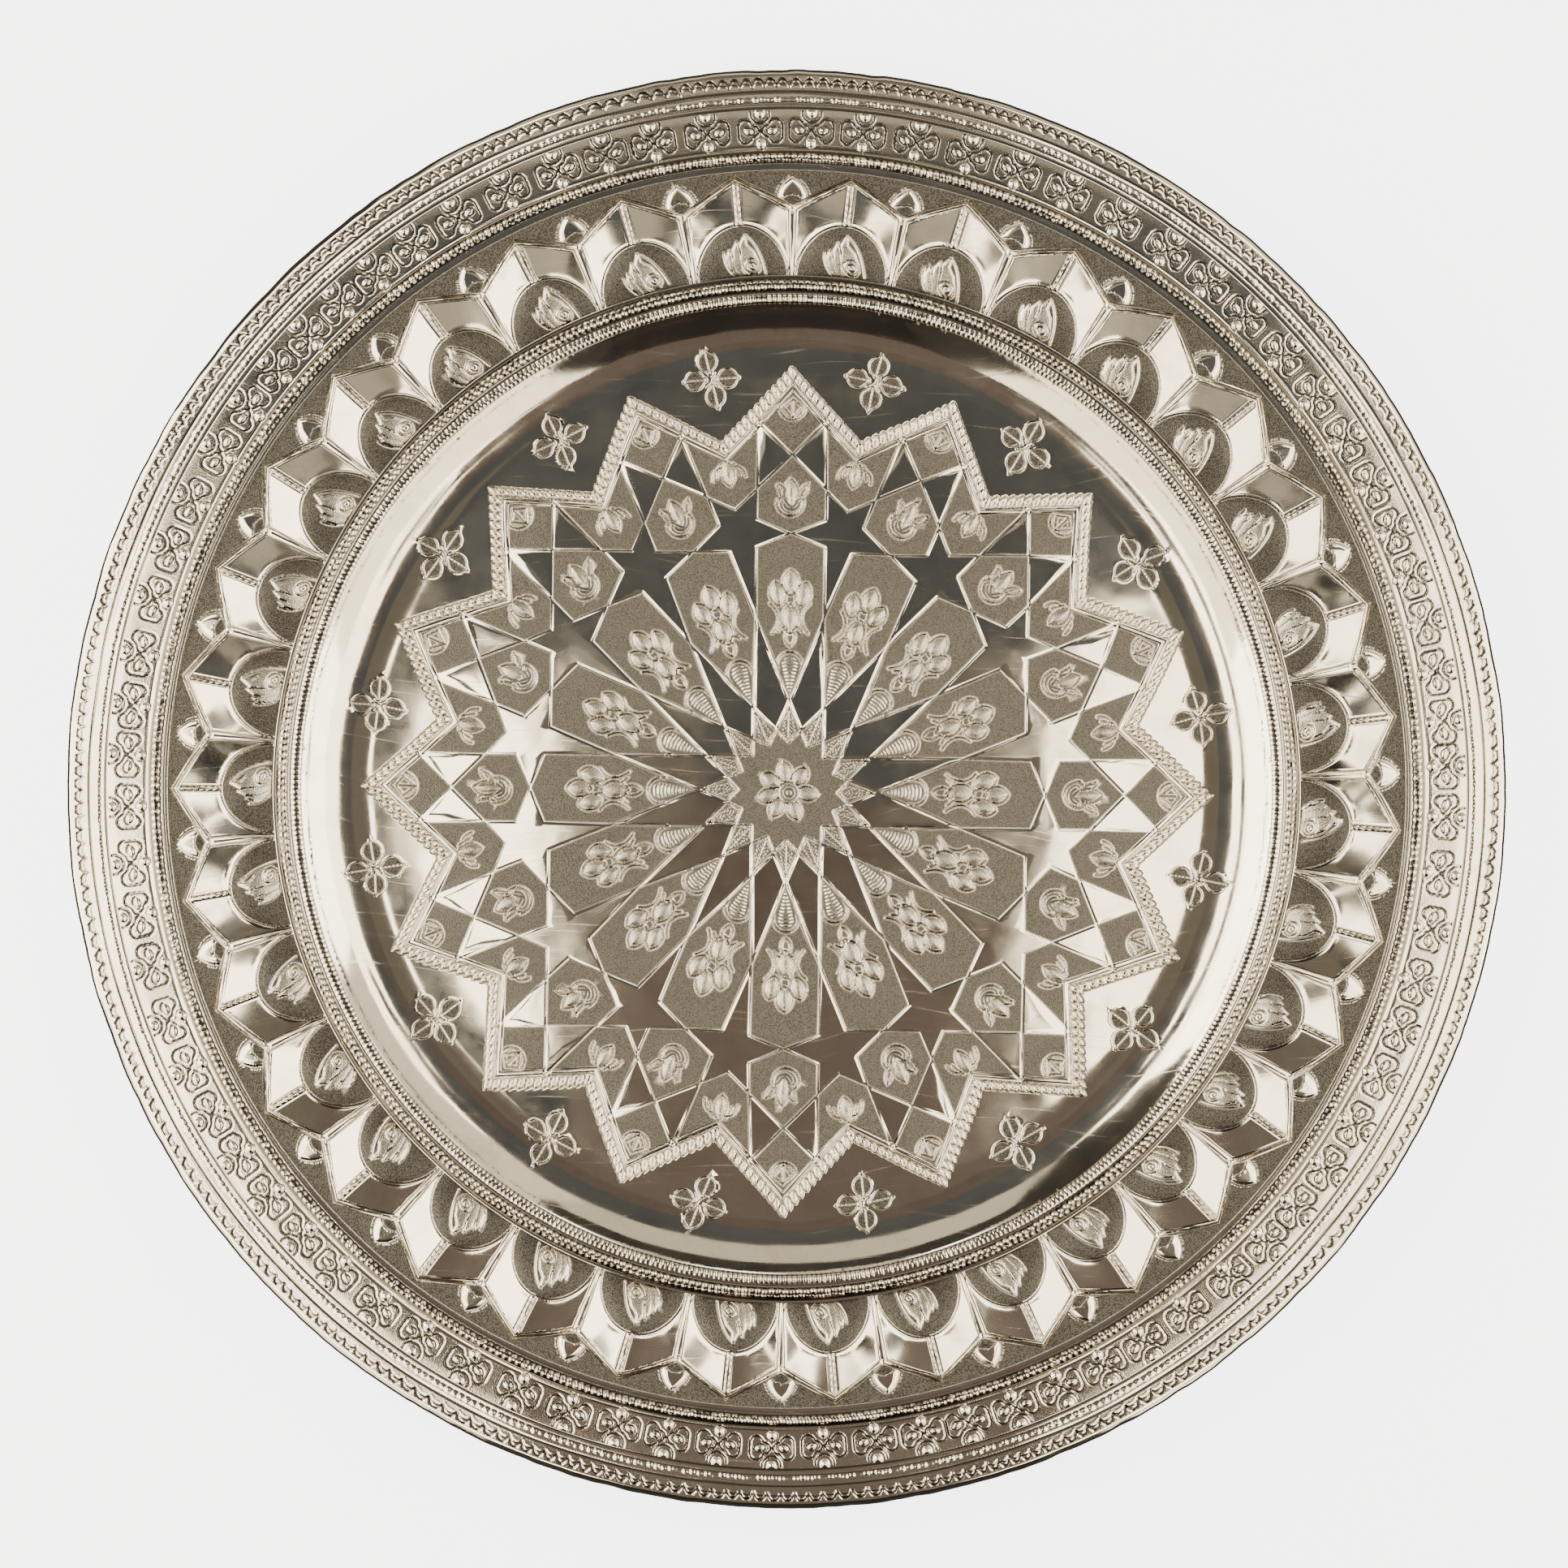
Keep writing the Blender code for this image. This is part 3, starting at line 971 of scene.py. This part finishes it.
def star_cell(fine, coarse, limit):
    """The flat layout of one sector of the floor and cove, its long side lines matched."""
    half = SECTOR / 2
    margin = 0.45 * fine
    reach = COVE_END
    span = reach * math.tan(half) + 2
    u, v = np.meshgrid(np.arange(-span, span, fine), np.arange(0, reach + 2, fine))
    keep = rough_points(lambda x, y: star_relief(x, y, False), u, v, fine, coarse, limit)
    in_cove = np.hypot(u, v) > 166
    row, column = np.indices(u.shape)
    stride = round(1.25 / fine)
    keep |= in_cove & (row % stride == 0) & (column % stride == 0)
    c, s = math.cos(half), math.sin(half)
    room = np.minimum(v * s - u * c, v * s + u * c)
    keep &= (room > margin) & (np.hypot(u, v) < reach - margin)
    points = np.stack([u[keep], v[keep]], -1)
    radii = np.arange(fine, reach, fine)
    h, ground = star_relief(radii * s, radii * c)
    bent = np.abs(np.roll(h, 1) + np.roll(h, -1) - 2 * h) > limit
    bent |= np.roll(bent, 1) | np.roll(bent, -1)
    bent |= np.arange(len(radii)) % stride == 0
    radii = radii[bent]
    right = [(r * s, r * c) for r in radii]
    left = [(-r * s, r * c) for r in radii[::-1]]
    rim = [(reach * math.sin(t), reach * math.cos(t)) for t in np.linspace(half, -half, 72)]
    outline = [(0, 0)] + right + rim + left
    walls = [(c, -s, 0), (-c, -s, 0), (0, 1, reach)]
    lines = []
    for ax, ay, bx, by, width in STAR_LINES:
        size = math.hypot(bx - ax, by - ay)
        nx, ny = (by - ay) / size, (ax - bx) / size
        for off in (-0.62, -0.5, 0, 0.5, 0.62):
            ox, oy = nx * off * width, ny * off * width
            part = clip_to((ax + ox, ay + oy, bx + ox, by + oy), walls)
            if part:
                lines.append(part)
    slope = math.tan(BORDER_SLOPE)
    for tip in BORDER_LINES:
        for off in (-BORDER_HALF, 0, BORDER_HALF, 1.3 * BORDER_HALF):
            top = tip + off / math.cos(BORDER_SLOPE)
            for side in (-1, 1):
                part = clip_to((0, top, side * 40, top - 40 * slope), walls)
                if part:
                    lines.append(part)
    return triangulate(outline, lines, points, 0.32 * fine)


def join_cells(points, faces, ground, tolerance=0.02):
    """Weld the points that neighbouring cells share."""
    key = np.round(points[:, :2] / tolerance).astype(np.int64)
    _, first, back = np.unique(key, axis=0, return_index=True, return_inverse=True)
    faces = back.ravel()[faces]
    good = (faces[:, 0] != faces[:, 1]) & (faces[:, 1] != faces[:, 2]) & (faces[:, 2] != faces[:, 0])
    return points[first], faces[good], ground[first]


def star_points(cell, sectors, under=False):
    """Points, faces and matt share of a run of sectors laid side by side."""
    flat, faces = cell
    all_points, all_faces, all_ground = [], [], []
    for n, k in enumerate(sectors):
        x, y = turn(flat[:, 0], flat[:, 1], -k * SECTOR)
        h, ground = star_relief(x, y)
        x = x + 0.3 * waves(x, y, 70, 11)
        y = y + 0.3 * waves(x, y, 70, 12)
        radius = np.hypot(x, y)
        hold = smoothstep(COVE_END, 185, radius)
        x, y = turn(x, y, -STAR_TURN)
        x, y = x + STAR_SHIFT[0] * hold, y + STAR_SHIFT[1] * hold
        radius = np.minimum(np.hypot(x, y), COVE_END)
        angle = np.arctan2(x, y)
        strength = 1 + 0.16 * waves(x, y, 40, 13)
        fade = smoothstep(COVE_END, COVE_END - 1.0, radius)
        all_points.append(lay_out(angle, radius, h * strength * fade, under))
        all_faces.append((faces[:, ::-1] if under else faces) + n * len(flat))
        all_ground.append(ground)
    return join_cells(np.concatenate(all_points), np.concatenate(all_faces), np.concatenate(all_ground))


def flute_cell(fine, coarse, limit):
    """The flat layout of one flute, in millimetres across and out."""
    wide = FLUTE_FLAT
    low, high = FLUTE_INNER, FLUTE_BAND_END
    margin = 0.4 * fine

    def relief(p, r):
        return flute_relief(np.clip(p / wide + 0.5, 0, 1), r, 0)

    p, r = np.meshgrid(np.arange(-wide / 2, wide / 2, fine), np.arange(low, high, fine))
    keep = rough_points(relief, p, r, fine, coarse, limit)
    keep &= (np.abs(p) < wide / 2 - margin) & (r > low + margin) & (r < high - margin)
    points = np.stack([p[keep], r[keep]], -1)
    sides = np.linspace(low, high, round((high - low) / (1.3 * fine)) + 1)
    across = np.linspace(-wide / 2, wide / 2, round(wide / (1.5 * fine)) + 1)
    outline = [(wide / 2, r) for r in sides]
    outline += [(p, high) for p in across[-2::-1]]
    outline += [(-wide / 2, r) for r in sides[-2::-1]]
    outline += [(p, low) for p in across[1:-1]]
    walls = [(1, 0, wide / 2), (-1, 0, wide / 2), (0, 1, high), (0, -1, -low)]
    lines = []
    crest = FLUTE_OUTER - 0.3
    for side in (-1, 1):
        for down in (-0.45, 0, 0.45, 1.75, 2.18, 2.65):
            part = clip_to((0, crest - down, side * wide / 2, FLUTE_VALLEY - down), walls)
            if part:
                lines.append(part)
        for near, far in ((0.3, 0.9), (0.55, 1.5), (0.85, 1.9)):
            x = side * (wide / 2 - near)
            part = clip_to((x, low, side * (wide / 2 - far), FLUTE_VALLEY), walls)
            if part:
                lines.append(part)
    lines.append((0, 237.0, 0, crest - 2.7))
    return triangulate(outline, lines, points, 0.32 * fine)


def flute_points(cell, flutes, under=False):
    """Points, faces and matt share of a run of flutes."""
    flat, faces = cell
    s = flat[:, 0] / FLUTE_FLAT + 0.5
    r = flat[:, 1]
    all_points, all_faces, all_ground = [], [], []
    for n, k in enumerate(flutes):
        start, end = valley_angle(k), valley_angle(k + 1)
        h, ground = flute_relief(s, r, k % FLUTES)
        fade = smoothstep(FLUTE_INNER, FLUTE_INNER + 0.6, r)
        fade = fade * smoothstep(FLUTE_BAND_END, FLUTE_BAND_END - 0.6, r)
        all_points.append(lay_out(start + s * (end - start), r, h * fade, under))
        all_faces.append((faces[:, ::-1] if not under else faces) + n * len(flat))
        all_ground.append(ground)
    points = np.concatenate(all_points)
    return join_cells(points, face_up(points, np.concatenate(all_faces), under), np.concatenate(all_ground))


def edge_piece():
    """The rolled edge: over the top, round the outside, back under to its lip, and up inside."""
    lip = EDGE_START - 1.6
    path = [(EDGE_START, middle(EDGE_START) + SHEET / 2)]
    path += arc(*CURL_CENTRE, CURL_OUTSIDE, 92, -175, 24)
    path += arc(*CURL_CENTRE, CURL_OUTSIDE - SHEET, -175, 80, 18)
    path.append((lip, middle(lip) - SHEET / 2))
    columns = 816
    angle = np.arange(columns) / columns * 2 * math.pi
    rows = len(path)
    r, z = [np.array(side)[:, None] + 0 * angle[None, :] for side in zip(*path)]
    dents = 0.16 * ring_waves(angle, 300, 26, 81) + 0.10 * ring_waves(angle, 300, 9, 82)
    weight = smoothstep(EDGE_START, EDGE_START + 2.5, r)
    r = np.minimum(r + weight * (dents[None, :] - 0.15), OUTER_RADIUS - 0.02)
    points = np.stack([r * np.sin(angle)[None, :], r * np.cos(angle)[None, :], z], -1).reshape(-1, 3)
    i, j = np.meshgrid(np.arange(rows - 1), np.arange(columns), indexing="ij")
    k = (j + 1) % columns
    faces = np.stack([i * columns + k, (i + 1) * columns + k, (i + 1) * columns + j, i * columns + j], -1)
    return points, faces.reshape(-1, 4), np.zeros(len(points))


# ---- materials
def new_material(name):
    material = bpy.data.materials.new(name)
    material.use_nodes = True
    tree = material.node_tree
    tree.nodes.clear()
    output = tree.nodes.new("ShaderNodeOutputMaterial")
    shader = tree.nodes.new("ShaderNodeBsdfPrincipled")
    tree.links.new(shader.outputs["BSDF"], output.inputs["Surface"])
    return material, tree, shader


def add_node(tree, kind, inputs=None, **settings):
    """A node with its settings and inputs; an input that is a socket is linked."""
    made = tree.nodes.new("ShaderNode" + kind)
    for key, value in settings.items():
        setattr(made, key, value)
    for key, value in (inputs or {}).items():
        if isinstance(value, bpy.types.NodeSocket):
            tree.links.new(value, made.inputs[key])
        else:
            made.inputs[key].default_value = value
    return made


def mix_colour(tree, factor, first, second):
    made = tree.nodes.new("ShaderNodeMix")
    made.data_type = "RGBA"
    for socket, value in ((made.inputs[0], factor), (made.inputs[6], first), (made.inputs[7], second)):
        if isinstance(value, bpy.types.NodeSocket):
            tree.links.new(value, socket)
        else:
            socket.default_value = value
    return made.outputs[2]


def noise(tree, place, scale, detail, roughness=0.5):
    inputs = {"Vector": place, "Scale": scale, "Detail": detail, "Roughness": roughness}
    return add_node(tree, "TexNoise", inputs).outputs["Fac"]


def ranged(tree, value, low, high, to_low=0.0, to_high=1.0):
    """A value mapped from one range to another."""
    made = add_node(tree, "MapRange", {"Value": value, "From Min": low, "From Max": high,
                                       "To Min": to_low, "To Max": to_high})
    return made.outputs[0]


def maths(tree, operation, *values, **settings):
    return add_node(tree, "Math", dict(enumerate(values)), operation=operation, **settings).outputs[0]


def bumped(tree, height, strength, distance, below=None):
    """A bump, on top of the one below it."""
    inputs = {"Height": height, "Strength": strength, "Distance": distance}
    if below:
        inputs["Normal"] = below
    return add_node(tree, "Bump", inputs).outputs[0]


def tin_material():
    """Burnished tin over copper: bright where plain, matt and stippled where the ground is punched.

    The point attribute ground is the matt share where it is above zero. Where it is below, it is the share
    of dark tarnish in the cuts and of painted shade between the beads and ticks of the rings.
    """
    material, tree, shader = new_material("tinned_copper_finish")
    place = add_node(tree, "TexCoord").outputs["Object"]
    finish = add_node(tree, "Attribute", attribute_name="ground").outputs["Fac"]
    ground = maths(tree, "MAXIMUM", finish, 0.0)
    # Below zero the attribute gives tarnish in the cuts and painted shade between the beads and ticks of
    # the rings.
    dark_share = maths(tree, "MULTIPLY", finish, -1.0, use_clamp=True)
    cloud = noise(tree, place, 14.0, 5.0, 0.6)
    tarnish = noise(tree, place, 55.0, 6.0, 0.65)
    grain = noise(tree, place, 900.0, 3.0, 0.6)
    plain = mix_colour(tree, cloud, (0.80, 0.71, 0.56, 1), (0.94, 0.86, 0.71, 1))
    plain = mix_colour(tree, ranged(tree, tarnish, 0.5, 0.8, 0.0, 0.6), plain, (0.52, 0.46, 0.37, 1))
    dots = add_node(tree, "TexVoronoi", {"Vector": place, "Scale": 2000.0, "Randomness": 1.0})
    dots = dots.outputs["Distance"]
    pits = ranged(tree, dots, 0.1, 0.65)
    matt = mix_colour(tree, pits, (0.137, 0.124, 0.103, 1), (0.041, 0.037, 0.031, 1))
    colour = mix_colour(tree, ground, plain, matt)
    # Dark colour for the tarnish in the cuts and for the painted shade between the beads and ticks.
    colour = mix_colour(tree, dark_share, colour, (0.080, 0.066, 0.048, 1))
    tree.links.new(colour, shader.inputs["Base Color"])
    shader.inputs["Metallic"].default_value = 1.0
    drift = add_node(tree, "TexNoise", {"Vector": place, "Scale": 9.0, "Detail": 1.0}).outputs["Color"]
    drift = add_node(tree, "VectorMath", {0: drift, 1: (0.05, 0.05, 0.05)}, operation="MULTIPLY")
    bent = add_node(tree, "VectorMath", {0: place, 1: drift.outputs[0]}, operation="ADD")
    along = add_node(tree, "Mapping", {"Vector": bent.outputs[0], "Scale": (22.0, 900.0, 22.0),
                                       "Rotation": (0, 0, math.radians(38))})
    rub = ranged(tree, noise(tree, along.outputs[0], 1.0, 3.0), 0.63, 0.72)
    smooth = maths(tree, "MULTIPLY_ADD", rub, 0.07, ranged(tree, tarnish, 0.3, 0.7, 0.06, 0.13))
    rough = ranged(tree, grain, 0.3, 0.7, 0.36, 0.48)
    both = add_node(tree, "Mix", {0: ground, 2: smooth, 3: rough})
    tree.links.new(both.outputs[0], shader.inputs["Roughness"])
    hammered = bumped(tree, noise(tree, place, 38.0, 1.5, 0.4), 0.5, 0.0005)
    scratched = bumped(tree, rub, 0.1, 0.00003, hammered)
    stippled = bumped(tree, maths(tree, "MULTIPLY", dots, ground), 0.8, 0.0002, scratched)
    tree.links.new(stippled, shader.inputs["Normal"])
    return material


def iron_material():
    """Dull drawn iron with a little rust."""
    material, tree, shader = new_material("iron_wire_finish")
    place = add_node(tree, "TexCoord").outputs["Object"]
    rust = noise(tree, place, 160.0, 5.0, 0.65)
    spots = ranged(tree, rust, 0.48, 0.66)
    colour = mix_colour(tree, spots, (0.26, 0.24, 0.22, 1), (0.17, 0.09, 0.05, 1))
    tree.links.new(colour, shader.inputs["Base Color"])
    tree.links.new(ranged(tree, spots, 0.0, 1.0, 1.0, 0.2), shader.inputs["Metallic"])
    tree.links.new(ranged(tree, rust, 0.0, 1.0, 0.4, 0.8), shader.inputs["Roughness"])
    tree.links.new(bumped(tree, rust, 0.5, 0.0002), shader.inputs["Normal"])
    return material


# ---- the tray
def quarters(total, parts):
    """Split a count of cells into runs."""
    edges = [round(total * i / parts) for i in range(parts + 1)]
    return [list(range(a, b)) for a, b in zip(edges[:-1], edges[1:])]


def as_triangles(faces):
    """Cut four-sided faces in two, and leave triangles as they are."""
    if faces.shape[1] == 3:
        return faces
    return np.concatenate([faces[:, [0, 1, 2]], faces[:, [0, 2, 3]]])


def build_tray():
    tin = tin_material()
    cell = star_cell(STAR_STEP, 3.0, 0.007)
    for n, run in enumerate(quarters(POINTS, 8)):
        dress(mesh_object(f"star_floor_{n + 1}", *star_points(cell, run)), tin)
    cell = flute_cell(FLUTE_STEP, 1.3, 0.018)
    for n, run in enumerate(quarters(FLUTES, 4)):
        dress(mesh_object(f"flute_band_{n + 1}", *flute_points(cell, run)), tin)
    rings = (("shoulder_beads", shoulder_relief, COVE_END, FLUTE_INNER),
             ("ridge_beads", ridge_relief, FLUTE_BAND_END, RIM_INNER),
             ("heart_band", hearts_relief, RIM_INNER, HEARTS_END),
             ("scallop_band", scallop_relief, HEARTS_END, EDGE_START))
    for name, relief, start, end in rings:
        dress(mesh_object(name, *ring_piece(relief, start, end, RING_STEP, RING_STEP)), tin)
    dress(mesh_object("rolled_edge", *edge_piece()), tin)
    build_underside(tin)


def build_underside(tin):
    """The back of the sheet, where the chasing shows through in reverse."""
    parts = [star_points(star_cell(BACK_STEP, 6.0, 0.05), range(POINTS), under=True),
             flute_points(flute_cell(BACK_STEP, 3.0, 0.07), range(FLUTES), under=True)]

    def inner(angle, r):
        return shoulder_relief(angle, r)[0] * 0.7, 0.2 + 0 * r

    def outer(angle, r):
        h = np.where(r < RIM_INNER, ridge_relief(angle, r)[0], 0)
        h = np.where((r >= RIM_INNER) & (r < HEARTS_END), hearts_relief(angle, r)[0], h)
        return h * 0.8, 0.3 + 0 * r

    parts.append(ring_piece(inner, COVE_END, FLUTE_INNER, 1.8, 1.2, under=True))
    parts.append(ring_piece(outer, FLUTE_BAND_END, EDGE_START - 1.6, 1.8, 1.3, under=True))
    points, faces, ground, total = [], [], [], 0
    for part_points, part_faces, part_ground in parts:
        faces.append(as_triangles(face_up(part_points, part_faces, True)) + total)
        points.append(part_points)
        ground.append(np.clip(part_ground * 0.15 + 0.35, 0, 1))
        total += len(part_points)
    dress(mesh_object("underside", *(np.concatenate(part) for part in (points, faces, ground))), tin)


# ---- stage, light and camera
def plain_material(name, colour, glow_colour=(0, 0, 0), glow=0.0):
    """A matt paint, with light of its own where glow is above zero."""
    material, tree, shader = new_material(name)
    shader.inputs["Base Color"].default_value = (*colour, 1)
    shader.inputs["Roughness"].default_value = 0.95
    shader.inputs["Specular IOR Level"].default_value = 0.0
    shader.inputs["Emission Color"].default_value = (*glow_colour, 1)
    shader.inputs["Emission Strength"].default_value = glow
    return material


def stage_glow(obj, name, colour, strength):
    """Make an object a source that only shows in the tray's reflections."""
    obj.name = name
    obj.data.materials.append(plain_material(name + "_finish", (0, 0, 0), colour, strength))
    obj.visible_camera = False
    obj.visible_shadow = False
    obj.visible_diffuse = False
    obj.visible_transmission = False


def card(name, location, size, colour, strength, aim=None):
    """A plain panel near the tray. Without an aim it faces straight down."""
    bpy.ops.mesh.primitive_plane_add(size=1.0, location=location)
    obj = bpy.context.object
    obj.scale = (size[0], size[1], 1)
    direction = Vector(aim or (location[0], location[1], 0)) - Vector(location)
    obj.rotation_mode = "QUATERNION"
    obj.rotation_quaternion = direction.to_track_quat("Z", "Y")
    stage_glow(obj, name, colour, strength)


def around(azimuth, radius, height):
    """A place over the tray, its azimuth in degrees clockwise from +Y."""
    azimuth = math.radians(azimuth)
    return radius * math.sin(azimuth), radius * math.cos(azimuth), height


def area_light(name, location, size, energy, colour):
    data = bpy.data.lights.new(name, "AREA")
    data.shape = "RECTANGLE"
    data.size, data.size_y = size
    data.energy = energy
    data.color = colour
    obj = bpy.data.objects.new(name, data)
    bpy.context.scene.collection.objects.link(obj)
    obj.location = location
    obj.rotation_mode = "QUATERNION"
    obj.rotation_quaternion = (-Vector(location)).to_track_quat("-Z", "Y")
    obj.visible_camera = False


def build_floor():
    """A pale floor, and a dim disc on it that only the underside of the tray reflects."""
    bpy.ops.mesh.primitive_plane_add(size=12.0, location=(0, 0, -0.0006))
    floor = bpy.context.object
    floor.name = "pale_floor"
    floor.data.materials.append(plain_material("pale_floor_finish", (0.93, 0.93, 0.93), (1, 1, 1), 4.2))
    floor.visible_glossy = False
    bpy.ops.mesh.primitive_circle_add(radius=0.29, vertices=96, fill_type="NGON", location=(0, 0, -0.0003))
    stage_glow(bpy.context.object, "glow_below", (1.0, 0.96, 0.90), 0.22)


def build_stage():
    """Floor, soft light from both sides, and pale and dark cards over and around the tray."""
    build_floor()
    world = bpy.data.worlds.new("studio")
    world.use_nodes = True
    background = world.node_tree.nodes["Background"]
    background.inputs["Color"].default_value = (0.98, 0.93, 0.86, 1)
    background.inputs["Strength"].default_value = 0.05
    bpy.context.scene.world = world
    area_light("window_left", (-1.25, 0.15, 0.75), (1.5, 1.3), 44, (1.0, 0.93, 0.80))
    area_light("window_right", (1.35, -0.05, 0.75), (1.4, 1.2), 34, (1.0, 0.93, 0.80))
    cream, cool, warm = (1.0, 0.91, 0.74), (0.86, 0.93, 1.0), (1.0, 0.80, 0.70)
    middle_of_tray, over_tray = (0, 0, 0), (0, 0, 0.1)
    card("ceiling", (0.0, 0.0, 0.95), (1.3, 1.5), cream, 0.16)
    card("panel_left", (-0.50, 0.0, 0.64), (0.74, 1.1), cream, 6.0)
    card("panel_right", (0.50, 0.0, 0.64), (0.72, 1.1), cream, 5.0)
    card("corner_left", (-0.95, -0.80, 0.55), (1.0, 0.8), cream, 3.0, middle_of_tray)
    card("corner_right", (0.95, -0.80, 0.55), (1.0, 0.8), cream, 3.0, middle_of_tray)
    card("dark_above", (0.0, 0.128, 0.30), (0.27, 0.135), cool, 0.085)
    card("dark_neck", (0.012, 0.035, 0.29), (0.11, 0.08), cool, 0.09)
    card("dark_corner_left", (-0.155, 0.150, 0.50), (0.15, 0.17), cool, 0.10)
    card("dark_corner_right", (0.150, 0.150, 0.50), (0.12, 0.14), cool, 0.12)
    card("brown_neck", (0.0, -0.035, 0.29), (0.10, 0.07), warm, 0.12)
    card("brown_below", (0.005, -0.170, 0.30), (0.20, 0.21), warm, 0.15)
    card("figure", (0.05, -0.95, 0.6), (0.75, 1.0), (1.0, 0.88, 0.82), 0.03, over_tray)
    card("corner_back", (0.95, 0.80, 0.55), (0.9, 0.8), cream, 1.2, middle_of_tray)
    card("pale_above", (0.0, 0.247, 0.42), (0.36, 0.062), cream, 0.55)
    card("wall_back", (0.0, 1.3, 0.75), (1.6, 0.8), cream, 0.8, over_tray)
    spots = ((300, 0.02), (314, 0.02), (329, 0.02), (31, 0.02), (46, 0.02), (62, 0.02),
             (124, 0.03), (141, 0.03), (217, 0.25), (233, 0.25))
    for n, (azimuth, glow) in enumerate(spots):
        spot = around(azimuth, 0.283 if n % 2 else 0.295, 0.40)
        card(f"dark_spot_{n + 1}", spot, (0.066, 0.050), cool, glow, middle_of_tray)
    for n, azimuth in enumerate((222, 240, 258, 276, 294)):
        card(f"dark_edge_{n + 1}", around(azimuth, 0.194, 0.30), (0.062, 0.042), cool, 0.07, middle_of_tray)


def build_camera():
    """Straight above the tray, its long lens keeping the view nearly parallel."""
    data = bpy.data.cameras.new("camera")
    data.sensor_width = 36.0
    data.lens = data.sensor_width * VIEW_DISTANCE / VIEW_WIDTH
    obj = bpy.data.objects.new("camera", data)
    bpy.context.scene.collection.objects.link(obj)
    obj.location = (*VIEW_OFFSET, CURL_CENTRE[1] * MM + VIEW_DISTANCE)
    bpy.context.scene.camera = obj


build_camera()
build_stage()
build_tray()
for slot in bpy.data.objects["rim_wire"].material_slots:
    slot.material = iron_material()
